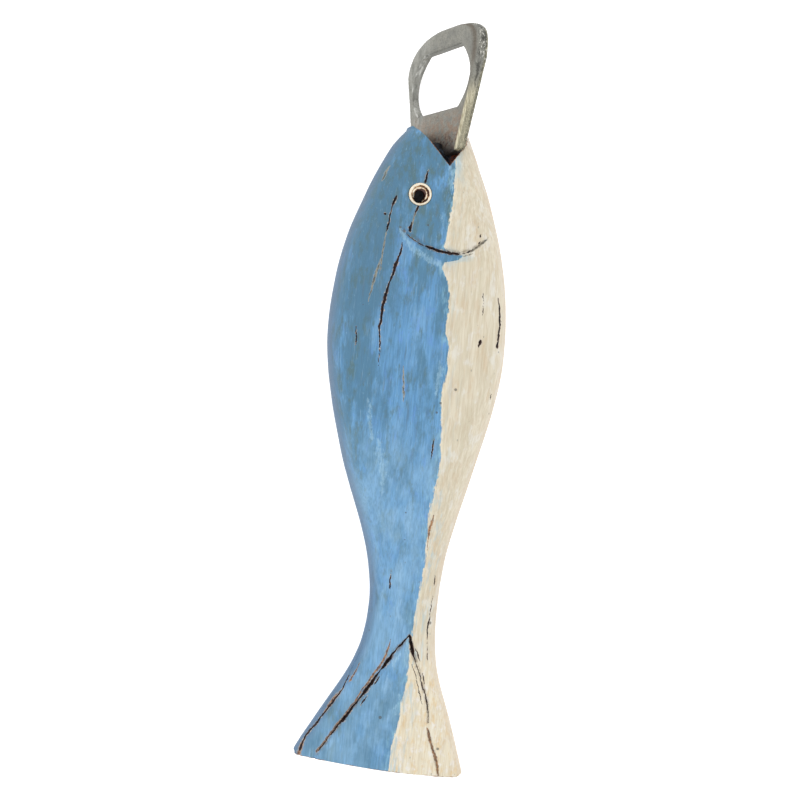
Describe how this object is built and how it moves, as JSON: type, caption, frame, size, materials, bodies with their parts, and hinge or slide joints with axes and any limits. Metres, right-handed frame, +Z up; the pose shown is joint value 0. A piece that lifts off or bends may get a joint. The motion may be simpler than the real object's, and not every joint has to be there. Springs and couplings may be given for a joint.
{
  "type": "souvenir bottle opener",
  "caption": "Carved and painted wooden fish whose mouth holds a flat metal crown-cap opener ring; it rests on its flank.",
  "frame": {"origin": "on the surface that the fish lies on, under the middle of the whole object's box", "axes": "+Y from the tail to the head and opener, +X from the fish's back to its belly, +Z up from the flank that it lies on"},
  "size_m": [0.0592, 0.2439, 0.0369],
  "materials": {
    "painted_wood": "brushed two-tone blue and cream paint, rubbed back over dark wood",
    "opener_metal": "dull grey cast metal with bright worn edges",
    "dark_resin": "dark brown set resin",
    "cream_eye": "cream paint over a turned wooden ring",
    "black_pupil": "glossy black bead"
  },
  "bodies": {
    "root": {"fish_body": "painted_wood", "opener_head": "opener_metal", "tang_resin": "dark_resin", "eye_ring_upper": "cream_eye", "eye_ring_lower": "cream_eye", "eye_pupil_upper": "black_pupil", "eye_pupil_lower": "black_pupil"}
  },
  "joints": []
}
